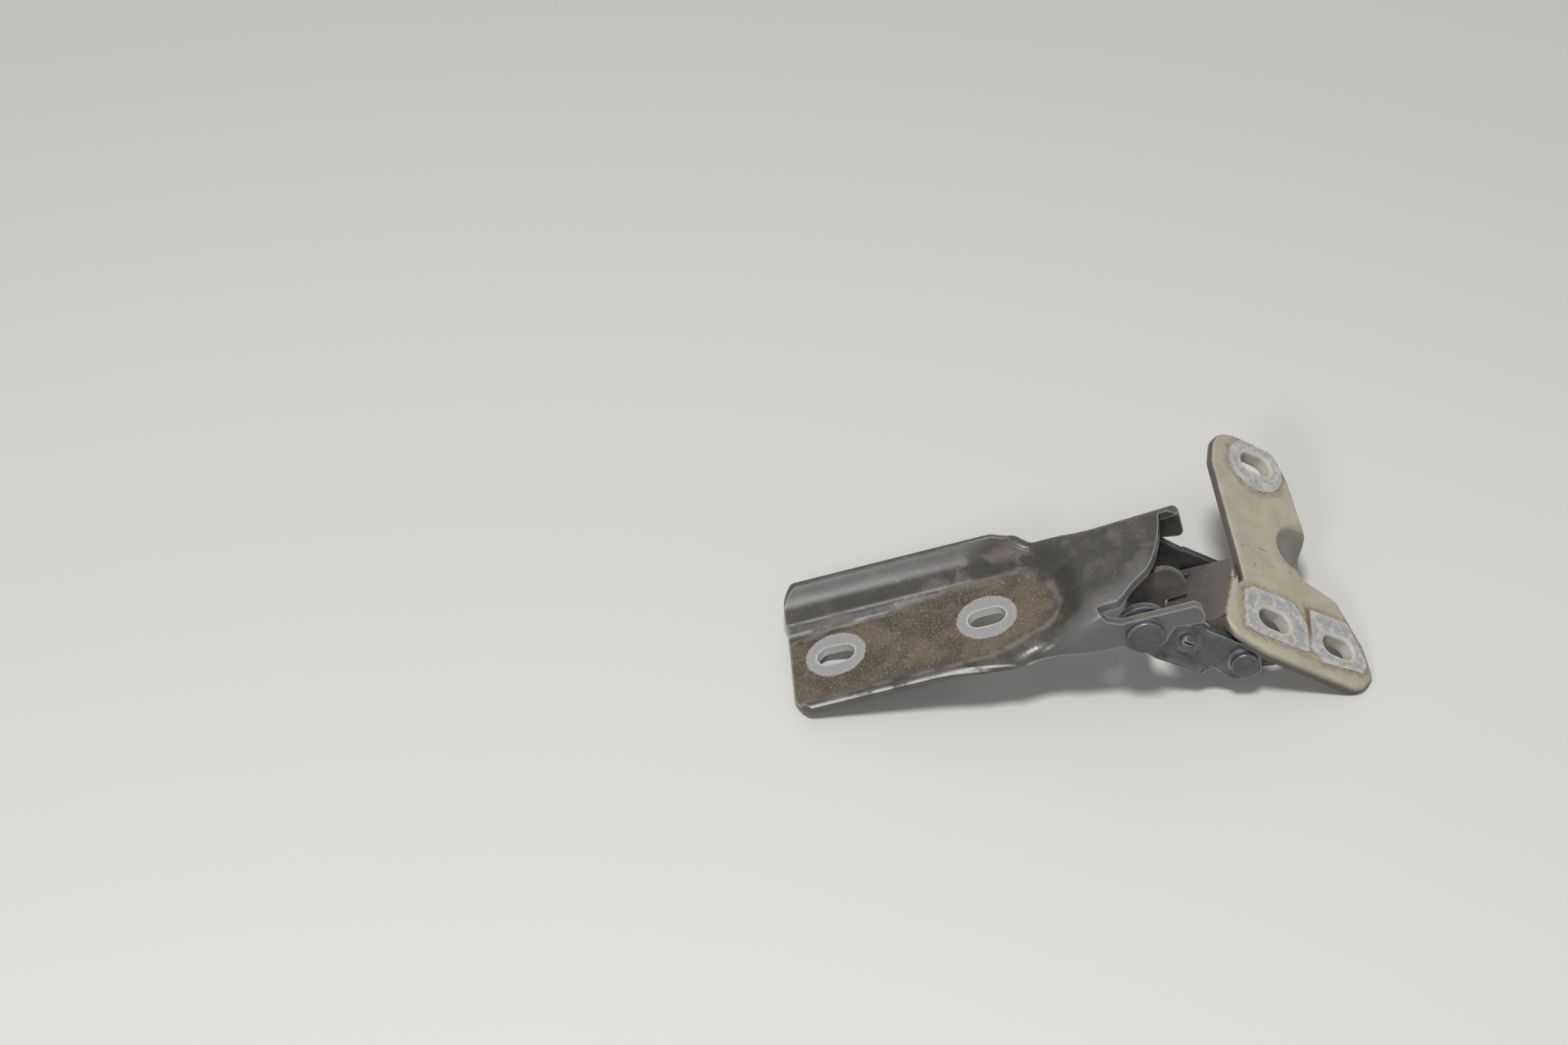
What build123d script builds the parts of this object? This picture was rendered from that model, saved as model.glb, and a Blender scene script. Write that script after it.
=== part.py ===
"""Trunk lid hinge: pressed body bracket, two links, lid bracket and the rivets between them."""
import os
from math import acos, atan, cos, hypot, radians, sin, tan

from build123d import *

os.makedirs("parts", exist_ok=True)

# Frame: X runs along the two floor slots toward the links, Y away from the viewer, Z up.
# The origin is midway between the floor slots on the top face of the floor.

# pressings
sheet_t = 3.5            # both brackets
link_t = 3.0             # both links
run_gap = 0.05           # faces that slide on each other

# body bracket
floor_left = -47.8
hood_end = 112.0
slot_x = 30.0            # half the spacing of the floor slots
slot_long = 15.0
slot_wide = 9.5
crown_near = 10.5        # crown height over the near bend
crown_slope = 0.085      # rise of the crown toward the far side, at its low end
crown_twist = 0.0017     # and what that slope gains along X
ramp_end = 77.0          # the ramp from floor to crown is over here on the near side
near_face = -25.0        # outer face of the near arm
far_face = 22.7          # outer face of the far flange
rim_r = 1.2              # rounding of the channel's two rims
coined = 0.05            # the underside is struck flat by this much round the slots
arm_top = 2.0
arm_end = 111.2

# pivots, (x, z)
pivot_a = (87.5, -5.3)   # near arm to control link
pivot_b = (121.0, -34.3)  # control link to near cheek
pivot_c = (85.0, -1.5)   # far flange to far link
pivot_d = (116.5, -23.5)  # far link to far cheek
lug_r = 9.5

# rivets, bushes and washers
shank_r = 4.0
bush_wall = 1.0
shank_gap = 0.05
head_a_r = 7.3
head_b_r = 5.5
head_t = 3.0
tail_r = 6.0
tail_t = 1.8
flange_r = 6.8
washer_t = 0.6
drift = 1.6              # room round the shank of the opened pivot

# lid bracket
plate_corner = (126.35, -25.0, -23.85)
plate_droop = 45.0       # about Y
plate_lean = 12.0        # toward the viewer
web_top = -13.5
pad_rise = 0.5
lid_slot_long = 14.0
lid_slot_wide = 9.0
pad_slot_1 = (10.3, 16.0)
pad_slot_2 = (40.3, 15.8)
lobe_slot = (5.8, 93.8)
collar = 2.2             # width of the pushed in edge round each slot
slot_round = 1.1
plate_round = 1.6
lip_depth = 5.3          # the near edge hangs this far below the top of the plate
lip_t = 2.0
dish_r = 18.0            # sphere of the dish in the waist
web_bend_r = 7.0

# where the plates of the near side stand along Y
arm_in = near_face + sheet_t
link_out = arm_in + run_gap + washer_t
link_in = link_out + link_t
near_cheek_out = link_in + washer_t + run_gap
# and those of the far side
flange_in = far_face - sheet_t
bar_far = flange_in - run_gap - washer_t
bar_near = bar_far - link_t
far_cheek_out = bar_near - washer_t - run_gap


def across(y):
    """Plane facing the viewer at depth y, drawn in X and Z."""
    return Plane.XZ.offset(-y)


def smooth(t):
    t = min(1.0, max(0.0, t))
    return t * t * (3 - 2 * t)


def rounded(corners):
    """Closed outline through (x, y, radius) corners."""
    bends = []
    for k, (x, y, r) in enumerate(corners):
        corner = Vector(x, y)
        back = (Vector(*corners[k - 1][:2]) - corner).normalized()
        ahead = (Vector(*corners[(k + 1) % len(corners)][:2]) - corner).normalized()
        half = acos(back.dot(ahead)) / 2
        reach = r / tan(half)
        middle = (back + ahead).normalized() * (r / sin(half) - r)
        bends.append((corner + back * reach, corner + middle, corner + ahead * reach, r))
    for k, (start, middle, end, r) in enumerate(bends):
        Line(bends[k - 1][2], start)
        if r:
            ThreePointArc(start, middle, end)


# Body bracket


def floor_height(x, y):
    """Top face of the pressing between its two side bends."""
    crown = crown_near + (crown_slope + crown_twist * max(0, x - 72)) * (y + 19)
    start = 55 - 0.012 * (y + 1) ** 2 if y > -5 else 54.8 - 0.04 * (y + 5) ** 2
    return crown * smooth((x - start) / (ramp_end - 0.1 * (y + 19) - start))


def floor_angle(x, y):
    return atan((floor_height(x, y + 0.2) - floor_height(x, y - 0.2)) / 0.4)


def side(x, y0, way, *legs):
    """Middle of the sheet from the floor's end at y0 outward. A leg is a length and the angle it
    bends to, or None for a straight one."""
    y, z, angle = y0, floor_height(x, y0) - sheet_t / 2, way * floor_angle(x, y0)
    lines = []
    for length, end in legs:
        marks = [(y, z, angle)]
        steps = 1 if end is None else 5
        turn = 0 if end is None else (radians(end) - angle) / steps
        for _ in range(steps):
            y += way * cos(angle + turn / 2) * length / steps
            z += sin(angle + turn / 2) * length / steps
            angle += turn
            marks.append((y, z, angle))
        lines.append(marks)
    return lines


def blend(x, *keys):
    """Value at x, easing from each (x, value) key to the next."""
    value = keys[0][1]
    for (x0, v0), (x1, v1) in zip(keys, keys[1:]):
        if x > x0:
            value = v0 + (v1 - v0) * smooth((x - x0) / (x1 - x0))
    return value


def near_legs(x):
    """Low rim of the channel, which turns over into the upright near arm."""
    return ((blend(x, (30, 6.0), (50, 7.0), (66, 9.5)), blend(x, (8, 70), (60, -90))),
            (blend(x, (30, 1.3), (44, 2.5), (54, 9), (66, 26)), None))


def far_legs(x):
    """Wall of the channel, whose top curls over into the shoulder and far flange of the hood."""
    return ((blend(x, (50, 9), (ramp_end, 0.8)), blend(x, (44, 62), (60, 58), (ramp_end, 6))),
            (blend(x, (37, 12.3), (52, 5.0), (57, 5.4), (72, 0.4)), None),
            (blend(x, (40, 0.8), (51, 4.6), (70, 6.0)), blend(x, (42.5, 62), (53.5, -90))),
            (blend(x, (51, 1.4), (59, 22)), None))


def hood_side(x, way):
    """Where the floor has to end for the hood's upright faces to stand at near_face or far_face."""
    x = max(x, ramp_end)
    if way < 0:
        return near_face + sheet_t / 2 - side(x, 0, way, *near_legs(x))[-1][-1][0]
    return far_face - sheet_t / 2 - side(x, 0, way, *far_legs(x))[-1][-1][0]


def sheet_lines(x):
    """Middle of the sheet at a station, from the near rim to the far one."""
    near_y = blend(x, (20, -22.9), (58, hood_side(x, -1)))
    far_y = blend(x, (44, 15), (60, 11.5), (ramp_end, hood_side(x, 1)))
    near = [[(y, z, -a) for y, z, a in reversed(marks)]
            for marks in reversed(side(x, near_y, -1, *near_legs(x)))]
    floor = [(y, floor_height(x, y) - sheet_t / 2, floor_angle(x, y))
             for y in [near_y + (far_y - near_y) * k / 6 for k in range(7)]]
    return near + [floor] + side(x, far_y, 1, *far_legs(x))


def draw_rim(mark, way):
    """Rounded end of the sheet; way points out of it."""
    y, z, a = mark
    out, up = Vector(cos(a), sin(a)) * way, Vector(-sin(a), cos(a))
    flat = sheet_t / 2 - rim_r
    for s in (1, -1):
        centre = Vector(y, z) - out * rim_r + up * (s * flat)
        ThreePointArc(centre + up * (s * rim_r), centre + (out + up * s).normalized() * rim_r, centre + out * rim_r)
    Line(Vector(y, z) + up * flat, Vector(y, z) - up * flat)


def draw_section(x):
    lines = sheet_lines(x)
    for offset in (sheet_t / 2, -sheet_t / 2):
        for marks in lines:
            points = [Vector(y - offset * sin(a), z + offset * cos(a)) for y, z, a in marks]
            ends = [Vector(cos(marks[k][2]), sin(marks[k][2])) for k in (0, -1)]
            if marks is lines[0]:
                points[0] += ends[0] * rim_r
            if marks is lines[-1]:
                points[-1] -= ends[1] * rim_r
            if len(points) == 2:
                Line(*points)
            else:
                Spline(*points, tangents=ends)
    draw_rim(lines[0][0], -1)
    draw_rim(lines[-1][-1], 1)


stations = [floor_left - 2, 8, 14, 20, 26, 31, 35] + [38 + 1.5 * k for k in range(27)] + [hood_end]

with BuildPart() as body:
    for x in stations:
        with BuildSketch(Plane.YZ.offset(x)):
            with BuildLine():
                draw_section(x)
            make_face()
    loft(ruled=True)

    # mounting face struck flat under the floor
    with BuildSketch(Plane.XY.offset(coined - sheet_t)):
        with Locations((-2, -2)):
            Rectangle(100, 28)
    extrude(amount=-2, mode=Mode.SUBTRACT)

    # slanting free edge of the crown
    with BuildSketch(Plane.XY):
        with BuildLine():
            Spline((73.2, -21.6), (76.5, -21.3), (80.7, -20.2), (87.9, -13.3), (94.2, -8.1), (97.2, -3.4),
                   (100.4, 4.6), (102.4, 12.5), (103.1, 17.0))
            Polyline((103.1, 17.0), (130, 17.0), (130, -21.6), (73.2, -21.6))
        make_face()
    extrude(amount=30, mode=Mode.SUBTRACT)

    # outline of the near arm, above and at its round end
    with BuildSketch(across(-20.4)):
        with BuildLine():
            Polyline((72.3, 30), (72.4, 8.3), (75.2, 4.4), (80.0, arm_top), (108.4, arm_top))
            ThreePointArc((108.4, arm_top), (arm_end, -2.4), (109.2, -7.2))
            Polyline((109.2, -7.2), (130, -7.2), (130, 30), (72.3, 30))
        make_face()
    extrude(amount=20, mode=Mode.SUBTRACT)

    # lower outline of the near arm, with the lug round the pivot
    with BuildSketch(across(-12)):
        with BuildLine():
            Polyline((37, -3.7), (68.5, -8.3), (79.0, -9.6))
            ThreePointArc((79.0, -9.6), (pivot_a[0], pivot_a[1] - lug_r), (95.9, -9.7))
            Polyline((95.9, -9.7), (99.5, -5.6), (109.2, -7.2), (130, -7.2), (130, -40), (37, -40), (37, -3.7))
        make_face()
    extrude(amount=25, mode=Mode.SUBTRACT)

    # far flange: lug round its pivot, ear beyond the crown
    with BuildSketch(across(45)):
        with BuildLine():
            Polyline((44, -4.2), (64, -7.0), (75.6, -5.0))
            ThreePointArc((75.6, -5.0), (pivot_c[0], pivot_c[1] - lug_r), (93.2, -3.0))
            Polyline((93.2, -3.0), (100.6, 1.6), (108.6, 0.0))
            ThreePointArc((108.6, 0.0), (110.2, 1.0), (110.7, 3.2))
            Line((110.7, 3.2), (110.8, 8.5))
            ThreePointArc((110.8, 8.5), (109.8, 12.6), (106.6, 15.4))
            Polyline((106.6, 15.4), (106.6, 30), (130, 30), (130, -40), (44, -40), (44, -4.2))
        make_face()
    extrude(amount=45 - 16.4, mode=Mode.SUBTRACT)

    # rounded end of the far wall
    with BuildSketch(across(50)):
        with BuildLine():
            Polyline((-60, 3.0), (floor_left, 3.0))
            ThreePointArc((floor_left, 3.0), (-43.8, 12.8), (-34.0, 16.8))
            Polyline((-34.0, 16.8), (-34.0, 30), (-60, 30), (-60, 3.0))
        make_face()
    extrude(amount=50 - 12, mode=Mode.SUBTRACT)

    # left edge and its rounded near corner
    with BuildSketch(Plane.XY.offset(-20)):
        with BuildLine():
            Line((floor_left, 60), (floor_left, -18.5))
            ThreePointArc((floor_left, -18.5), (-44.4, -26.6), (-36.3, -31.0))
            Polyline((-36.3, -31.0), (-36.3, -45), (-70, -45), (-70, 60), (floor_left, 60))
        make_face()
    extrude(amount=60, mode=Mode.SUBTRACT)

    # floor slots
    with BuildSketch(Plane.XY.offset(-10)):
        with Locations((-slot_x, 0), (slot_x, 0)):
            SlotOverall(slot_long, slot_wide)
    extrude(amount=15, mode=Mode.SUBTRACT)

    # rivet seats
    with BuildSketch(across(0)):
        with Locations(pivot_a):
            Circle(shank_r)
    extrude(amount=40, mode=Mode.SUBTRACT)
    with BuildSketch(across(40)):
        with Locations(pivot_c):
            Circle(shank_r)
    extrude(amount=40, mode=Mode.SUBTRACT)

body.part.label = "body_bracket"
export_step(body.part, "parts/body_bracket.step")


# Lid bracket

lean = radians(plate_lean)
droop = radians(plate_droop)
plate_normal = (sin(droop) * cos(lean), -sin(lean), cos(droop) * cos(lean))
plate_plane = Plane(origin=plate_corner, x_dir=(cos(droop), 0, -sin(droop)), z_dir=plate_normal)
plate_level = sum(a * b for a, b in zip(plate_normal, plate_corner))
ridge_way = (-plate_normal[1] / hypot(*plate_normal[:2]), plate_normal[0] / hypot(*plate_normal[:2]))


def on_plate(edge):
    """True for an edge that lies in the top face of the plate."""
    centre = edge.center()
    level = centre.X * plate_normal[0] + centre.Y * plate_normal[1] + centre.Z * plate_normal[2]
    return abs(level - plate_level) < 0.01


def round_slot(edge):
    """True for an edge at the mouth of a slot in the plate."""
    local = plate_plane.to_local_coords(edge.center())
    near = [abs(local.X - x) < lid_slot_long / 2 + 0.2 and abs(local.Y - y) < lid_slot_wide / 2 + 0.2 for x, y in
            (pad_slot_1, pad_slot_2, lobe_slot)]
    return any(near) and abs(local.Z - pad_rise) < 0.01


def ridge_x(y, z):
    """Where the top face of the plate stands at depth y and height z."""
    return (plate_level - plate_normal[1] * y - plate_normal[2] * z) / plate_normal[0]


def plate_outline():
    rounded([(-12.6, 8.0, 2.5), (-6.5, 2.6, 6), (8.0, -0.2, 14), (51.5, -0.3, 8), (57.2, 8.5, 5), (53.4, 21.6, 12),
             (41.6, 39.6, 3.5), (23.6, 44.6, 4), (29.4, 65.5, 14), (18.0, 105.8, 20), (-13.6, 104.6, 11),
             (-15.6, 86.5, 10), (-3.0, 31.0, 2.5), (-8.6, 26.0, 2.5)])


dish_centre = plate_plane.from_local_coords((25.0, 58.0, 14.0))

# sheet that the dish pushes out under the waist, kept inside the outline
with BuildPart() as bulge:
    with BuildSketch(plate_plane.offset(-1.8)):
        with BuildLine():
            plate_outline()
        make_face()
    extrude(amount=-8)
    with Locations(dish_centre):
        Sphere(dish_r + sheet_t, mode=Mode.INTERSECT)

with BuildPart() as lid:
    with BuildSketch(plate_plane):
        with BuildLine():
            plate_outline()
        make_face()
    extrude(amount=-sheet_t)
    fillet(lid.edges().filter_by(on_plate), plate_round)

    # near edge turned down into a lip
    with BuildSketch(plate_plane.offset(-1.8)):
        with BuildLine():
            plate_outline()
        make_face()
        with Locations((22.5, 0)):
            Rectangle(60, 2 * lip_t, mode=Mode.INTERSECT)
    extrude(amount=1.8 - lip_depth)

    # dish pressed into the waist
    add(bulge.part)
    with Locations(dish_centre):
        Sphere(dish_r, mode=Mode.SUBTRACT)

    # pads under the bolts
    with BuildSketch(plate_plane):
        with BuildLine():
            rounded([(-3.7, 8.0, 2), (0.4, 6.3, 2), (26.1, 6.7, 1.5), (25.9, 20.5, 4), (19.8, 28.9, 2), (0.6, 28.8, 2),
                     (-3.7, 25.3, 2)])
        make_face()
        with BuildLine():
            rounded([(27.7, 9.5, 3), (32.6, 4.9, 2), (51.8, 7.5, 2), (53.8, 13.0, 2), (45.4, 29.8, 2),
                     (26.9, 29.1, 1.5)])
        make_face()
    extrude(amount=pad_rise)
    with BuildSketch(plate_plane):
        with Locations((5.6, 92.6)):
            Circle(12.6)
        with Locations((5.6, 88.2)):
            Rectangle(40, 30, mode=Mode.INTERSECT)
    extrude(amount=pad_rise)

    # drawn slots, whose edges are pushed in and stand out underneath
    with BuildSketch(plate_plane.offset(-1.8)):
        with Locations(pad_slot_1, pad_slot_2, lobe_slot):
            SlotOverall(lid_slot_long + 2 * collar, lid_slot_wide + 2 * collar)
    extrude(amount=1.8 - sheet_t - 2.0)
    with BuildSketch(plate_plane.offset(5)):
        with Locations(pad_slot_1, pad_slot_2, lobe_slot):
            SlotOverall(lid_slot_long, lid_slot_wide)
    extrude(amount=-20, mode=Mode.SUBTRACT)
    fillet(lid.edges().filter_by(round_slot), slot_round)

    # web under the pads, reaching back to the links
    with BuildSketch(Plane.XY.offset(web_top)):
        with BuildLine():
            Polyline((98.7, 0), (104.4, 6), (113.0, far_cheek_out), (125.4, far_cheek_out), (125.4, 4.0),
                     (ridge_x(4.0, web_top) + 1.9, 4.0), (ridge_x(-13.5, web_top) + 1.9, -13.5),
                     (ridge_x(near_cheek_out, web_top) - 3.2, near_cheek_out),
                     (100.5, near_cheek_out), (97.2, -13.0), (97.2, -4.0), (98.7, 0))
        make_face()
    extrude(amount=-sheet_t)

    # soft bend from the web into the plate
    turn = acos(plate_normal[2])
    reach = web_bend_r * tan(turn / 2)
    with BuildSketch(Plane(origin=(ridge_x(-25, web_top), -25, web_top), x_dir=(-ridge_way[1], ridge_way[0], 0),
                           z_dir=(*ridge_way, 0))):
        with BuildLine():
            start, end = Vector(reach, 0), Vector(-cos(turn), -sin(turn)) * reach
            middle = Vector(reach - web_bend_r * sin(turn / 2), web_bend_r * (cos(turn / 2) - 1))
            ThreePointArc(start, middle, end)
            Polyline(end, end + Vector(-sin(turn), cos(turn)) * 4, (reach, 4), start)
        make_face()
    extrude(amount=30.6, mode=Mode.SUBTRACT)

    # near cheek, folded down from the web
    with BuildSketch(across(near_cheek_out + sheet_t)):
        with BuildLine():
            Polyline((100.5, web_top), (102.5, -20.0), (112.4, -38.2))
            ThreePointArc((112.4, -38.2), (117.6, -42.9), (124.6, -42.6))
            Polyline((124.6, -42.6), (132.2, -44.0), (136.6, -33.4), (ridge_x(near_cheek_out, -17.0) - 1.2, -17.0),
                     (ridge_x(near_cheek_out, web_top) - 3.2, web_top), (100.5, web_top))
        make_face()
    extrude(amount=sheet_t)

    # far cheek
    with BuildSketch(across(far_cheek_out)):
        with BuildLine():
            Polyline((105.6, web_top), (107.2, -25.1))
            ThreePointArc((107.2, -25.1), (115.5, -32.9), (125.2, -27.2))
            Polyline((125.2, -27.2), (125.4, web_top), (105.6, web_top))
        make_face()
    extrude(amount=sheet_t)

    # holes for the rivets
    with BuildSketch(across(0)):
        with Locations(pivot_b):
            Circle(shank_r)
    extrude(amount=30, mode=Mode.SUBTRACT)
    with BuildSketch(across(30)):
        with Locations(pivot_d):
            Circle(shank_r)
    extrude(amount=30, mode=Mode.SUBTRACT)

lid.part.label = "lid_bracket"
export_step(lid.part, "parts/lid_bracket.step")


# Links

with BuildPart() as control:
    with BuildSketch(across(link_in)):
        with BuildLine():
            Polyline((80.4, -12.3), (88.8, -22.5), (104.0, -36.0), (109.2, -34.3), (113.6, -40.8))
            ThreePointArc((113.6, -40.8), (119.4, pivot_b[1] - lug_r), (126.5, -41.9))
            Polyline((126.5, -41.9), (127.9, -34.6), (124.8, -29.6), (121.2, -25.4), (115.6, -19.9), (111.2, -15.8),
                     (109.3, -12.7), (99.6, -8.2), (96.6, -2.8))
            ThreePointArc((96.6, -2.8), (82.8, 2.95), (80.4, -12.3))
        make_face()
        with Locations(pivot_a, pivot_b):
            Circle(shank_r + shank_gap + bush_wall, mode=Mode.SUBTRACT)
    extrude(amount=link_t)
    # folded lower lip
    with BuildSketch(across(link_out)):
        with BuildLine():
            Polyline((88.9, -22.4), (103.9, -35.8), (105.6, -32.6), (90.8, -19.4), (88.9, -22.4))
        make_face()
    extrude(amount=1.4, taper=40)
    # low pressed boss with a raised and slit top, which meets the arm at the end of the travel
    with Locations((102.6, link_out + 9.9, -18.6)):
        Sphere(11.8)
    with Locations((102.3, link_out + 1.0, -16.9)):
        Sphere(4.0)
    with Locations((102.7, link_out + 1.2, -23.4)):
        Sphere(2.9)
    with BuildSketch(across(link_out - 1.9)):
        with Locations(Pos(102.9, -17.2) * Rot(0, 0, -40)):
            SlotOverall(5.4, 1.3)
    extrude(amount=4, mode=Mode.SUBTRACT)
    with BuildSketch(across(link_in)):
        with Locations((102.6, -18.6)):
            Circle(12)
    extrude(amount=-20, mode=Mode.SUBTRACT)
    with Locations((102.6, link_out + 9.9, -18.6)):
        Sphere(9.2, mode=Mode.SUBTRACT)

control.part.label = "control_link"
export_step(control.part, "parts/control_link.step")

with BuildPart() as bar:
    with BuildSketch(across(bar_far)):
        with BuildLine():
            rounded([(77.2, 7.9, 9), (98.2, 6.6, 8), (108.2, -4.9, 1), (109.4, -5.2, 1), (129.2, -24.9, 8),
                     (117.0, -36.2, 8.5), (98.4, -12.2, 10), (76.2, -10.4, 8.5)])
        make_face()
        with Locations(pivot_c):
            Circle(shank_r + shank_gap + bush_wall, mode=Mode.SUBTRACT)
        with Locations(pivot_d):
            Circle(shank_r + drift, mode=Mode.SUBTRACT)
    extrude(amount=link_t)

bar.part.label = "far_link"
export_step(bar.part, "parts/far_link.step")


# Rivets, bushes and washers


def ring(name, pivot, y, length, outer, inner):
    """Plain ring from depth y toward the far side."""
    with BuildPart() as piece:
        with BuildSketch(across(y + length)):
            with Locations(pivot):
                Circle(outer)
                Circle(inner, mode=Mode.SUBTRACT)
        extrude(amount=length)
    piece.part.label = name
    export_step(piece.part, "parts/" + name + ".step")


def rivet(name, pivot, head_y, tail_y, head_r, way):
    """Flat headed rivet: head on the outside at head_y, closed tail beyond tail_y; way points from head to tail."""
    far = head_y if way < 0 else tail_y
    with BuildPart() as piece:
        with BuildSketch(across(far)):
            with Locations(pivot):
                Circle(shank_r)
        extrude(amount=abs(tail_y - head_y))
        with BuildSketch(across(head_y if way > 0 else head_y + head_t)):
            with Locations(pivot):
                Circle(head_r)
        extrude(amount=head_t)
        outer = head_y - way * head_t
        fillet(piece.edges().filter_by(GeomType.CIRCLE).filter_by_position(Axis.Y, outer - 0.01, outer + 0.01), 0.7)
        with BuildSketch(across(tail_y + tail_t if way > 0 else tail_y)):
            with Locations(pivot):
                Circle(tail_r)
        extrude(amount=tail_t)
        end = tail_y + way * tail_t
        fillet(piece.edges().filter_by(GeomType.CIRCLE).filter_by_position(Axis.Y, end - 0.01, end + 0.01), 0.8)
    piece.part.label = name
    export_step(piece.part, "parts/" + name + ".step")


def bush(name, pivot, body_y, body_end, flange_y, flange_end):
    """Flanged bush pressed into a link; its flange keeps the link off the next plate."""
    low, high = min(body_y, body_end), max(body_y, body_end)
    flange_low, flange_high = min(flange_y, flange_end), max(flange_y, flange_end)
    with BuildPart() as piece:
        with BuildSketch(across(high)):
            with Locations(pivot):
                Circle(shank_r + shank_gap + bush_wall)
        extrude(amount=high - low)
        with BuildSketch(across(flange_high)):
            with Locations(pivot):
                Circle(flange_r)
        extrude(amount=flange_high - flange_low)
        with BuildSketch(across(high + 5)):
            with Locations(pivot):
                Circle(shank_r + shank_gap)
        extrude(amount=high - low + 10, mode=Mode.SUBTRACT)
    piece.part.label = name
    export_step(piece.part, "parts/" + name + ".step")


# near side, from the viewer inward
rivet("pin_a", pivot_a, near_face, link_in + run_gap + washer_t, head_a_r, 1)
bush("bush_a", pivot_a, link_out, link_in, link_out - washer_t, link_out)
ring("washer_a", pivot_a, link_in + run_gap, washer_t, flange_r, shank_r)

rivet("pin_b", pivot_b, link_out - run_gap - washer_t, near_cheek_out + sheet_t, head_b_r, 1)
ring("washer_b", pivot_b, link_out - run_gap - washer_t, washer_t, flange_r - 0.6, shank_r)
bush("bush_b", pivot_b, link_out, link_in, link_in, link_in + washer_t)

# far side, from the back inward
rivet("pin_c", pivot_c, far_face, bar_near - run_gap - washer_t, head_b_r + 1, -1)
bush("bush_c", pivot_c, bar_near, bar_far, bar_far, bar_far + washer_t)
ring("washer_c", pivot_c, bar_near - run_gap - washer_t, washer_t, flange_r, shank_r)

rivet("pin_d", pivot_d, bar_far + run_gap + washer_t, far_cheek_out - sheet_t, head_b_r, -1)
ring("washer_d", pivot_d, bar_far + run_gap, washer_t, lug_r - 1.7, shank_r)
ring("spacer_d", pivot_d, far_cheek_out, washer_t, lug_r - 1.7, shank_r)
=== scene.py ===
import bmesh
import bpy
from mathutils import Matrix, Vector


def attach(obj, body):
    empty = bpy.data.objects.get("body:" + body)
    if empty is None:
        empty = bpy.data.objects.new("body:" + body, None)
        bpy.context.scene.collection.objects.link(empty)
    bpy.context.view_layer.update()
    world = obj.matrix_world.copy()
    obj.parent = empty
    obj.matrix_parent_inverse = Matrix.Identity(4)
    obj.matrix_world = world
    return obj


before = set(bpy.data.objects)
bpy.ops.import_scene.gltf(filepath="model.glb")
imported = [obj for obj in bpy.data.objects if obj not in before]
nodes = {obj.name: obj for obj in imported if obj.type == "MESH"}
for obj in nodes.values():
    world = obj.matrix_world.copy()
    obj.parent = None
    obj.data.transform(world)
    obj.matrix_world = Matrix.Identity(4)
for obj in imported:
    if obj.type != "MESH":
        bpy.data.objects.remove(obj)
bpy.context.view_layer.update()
print("frame loaded:", len(nodes), "nodes")

# settings that many nodes share: a soft step, a product, a mix of two colours
fade = {"interpolation_type": "SMOOTHSTEP"}
product = {"operation": "MULTIPLY"}
rgb = {"data_type": "RGBA"}


def hexColor(text):
    parts = [int(text[i:i + 2], 16) / 255 for i in (1, 3, 5)]
    return [c / 12.92 if c <= 0.04045 else ((c + 0.055) / 1.055) ** 2.4 for c in parts] + [1.0]


def addNode(tree, kind, settings=None, links=None):
    # links: input name or number -> node, socket, number, vector or hex colour
    node = tree.nodes.new(kind)
    for name, value in (settings or {}).items():
        setattr(node, name, value)
    for name, value in (links or {}).items():
        socket = node.inputs[name] if isinstance(name, int) else next(
            s for s in node.inputs if s.name == name and s.enabled)
        if isinstance(value, bpy.types.Node):
            value = next(s for s in value.outputs if s.enabled)
        if isinstance(value, bpy.types.NodeSocket):
            tree.links.new(value, socket)
        else:
            socket.default_value = hexColor(value) if isinstance(value, str) else value
    return node


def newMaterial(name, metallic=0.0):
    material = bpy.data.materials.new(name)
    material.use_nodes = True
    tree = material.node_tree
    tree.nodes.clear()
    shader = addNode(tree, "ShaderNodeBsdfPrincipled", {}, {"Metallic": metallic})
    addNode(tree, "ShaderNodeOutputMaterial", {}, {"Surface": shader})
    return material, tree, shader


def finishShader(tree, shader, color, roughness, height, depth):
    # height is 0 to 1, depth is its full size in millimetres
    bump = addNode(tree, "ShaderNodeBump", {}, {"Height": height, "Distance": depth / 1000, "Strength": 1.0})
    for name, value in (("Base Color", color), ("Roughness", roughness), ("Normal", bump)):
        tree.links.new(next(s for s in value.outputs if s.enabled), shader.inputs[name])
    return bump


def millimetres(tree, place=(0, 0, 0), turn=(0, 0, 0)):
    # Object coordinates in mm, seen from a place on the part
    where = addNode(tree, "ShaderNodeTexCoord")
    return addNode(tree, "ShaderNodeMapping", {"vector_type": "TEXTURE"},
                   {"Vector": where.outputs["Object"], "Location": [v / 1000 for v in place],
                    "Rotation": turn, "Scale": (0.001, 0.001, 0.001)})


def raggedPoint(tree, point, size, shift):
    # the point pushed about by a cloud of the given size, so that borders wander by about shift mm
    cloud = addNode(tree, "ShaderNodeTexNoise", {}, {"Vector": point, "Scale": 1 / size, "Detail": 4.0})
    push = addNode(tree, "ShaderNodeVectorMath", {"operation": "MULTIPLY_ADD"},
                   {0: cloud.outputs["Color"], 1: (2 * shift,) * 3, 2: (-shift,) * 3})
    return addNode(tree, "ShaderNodeVectorMath", {"operation": "ADD"}, {0: point, 1: push})


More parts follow.
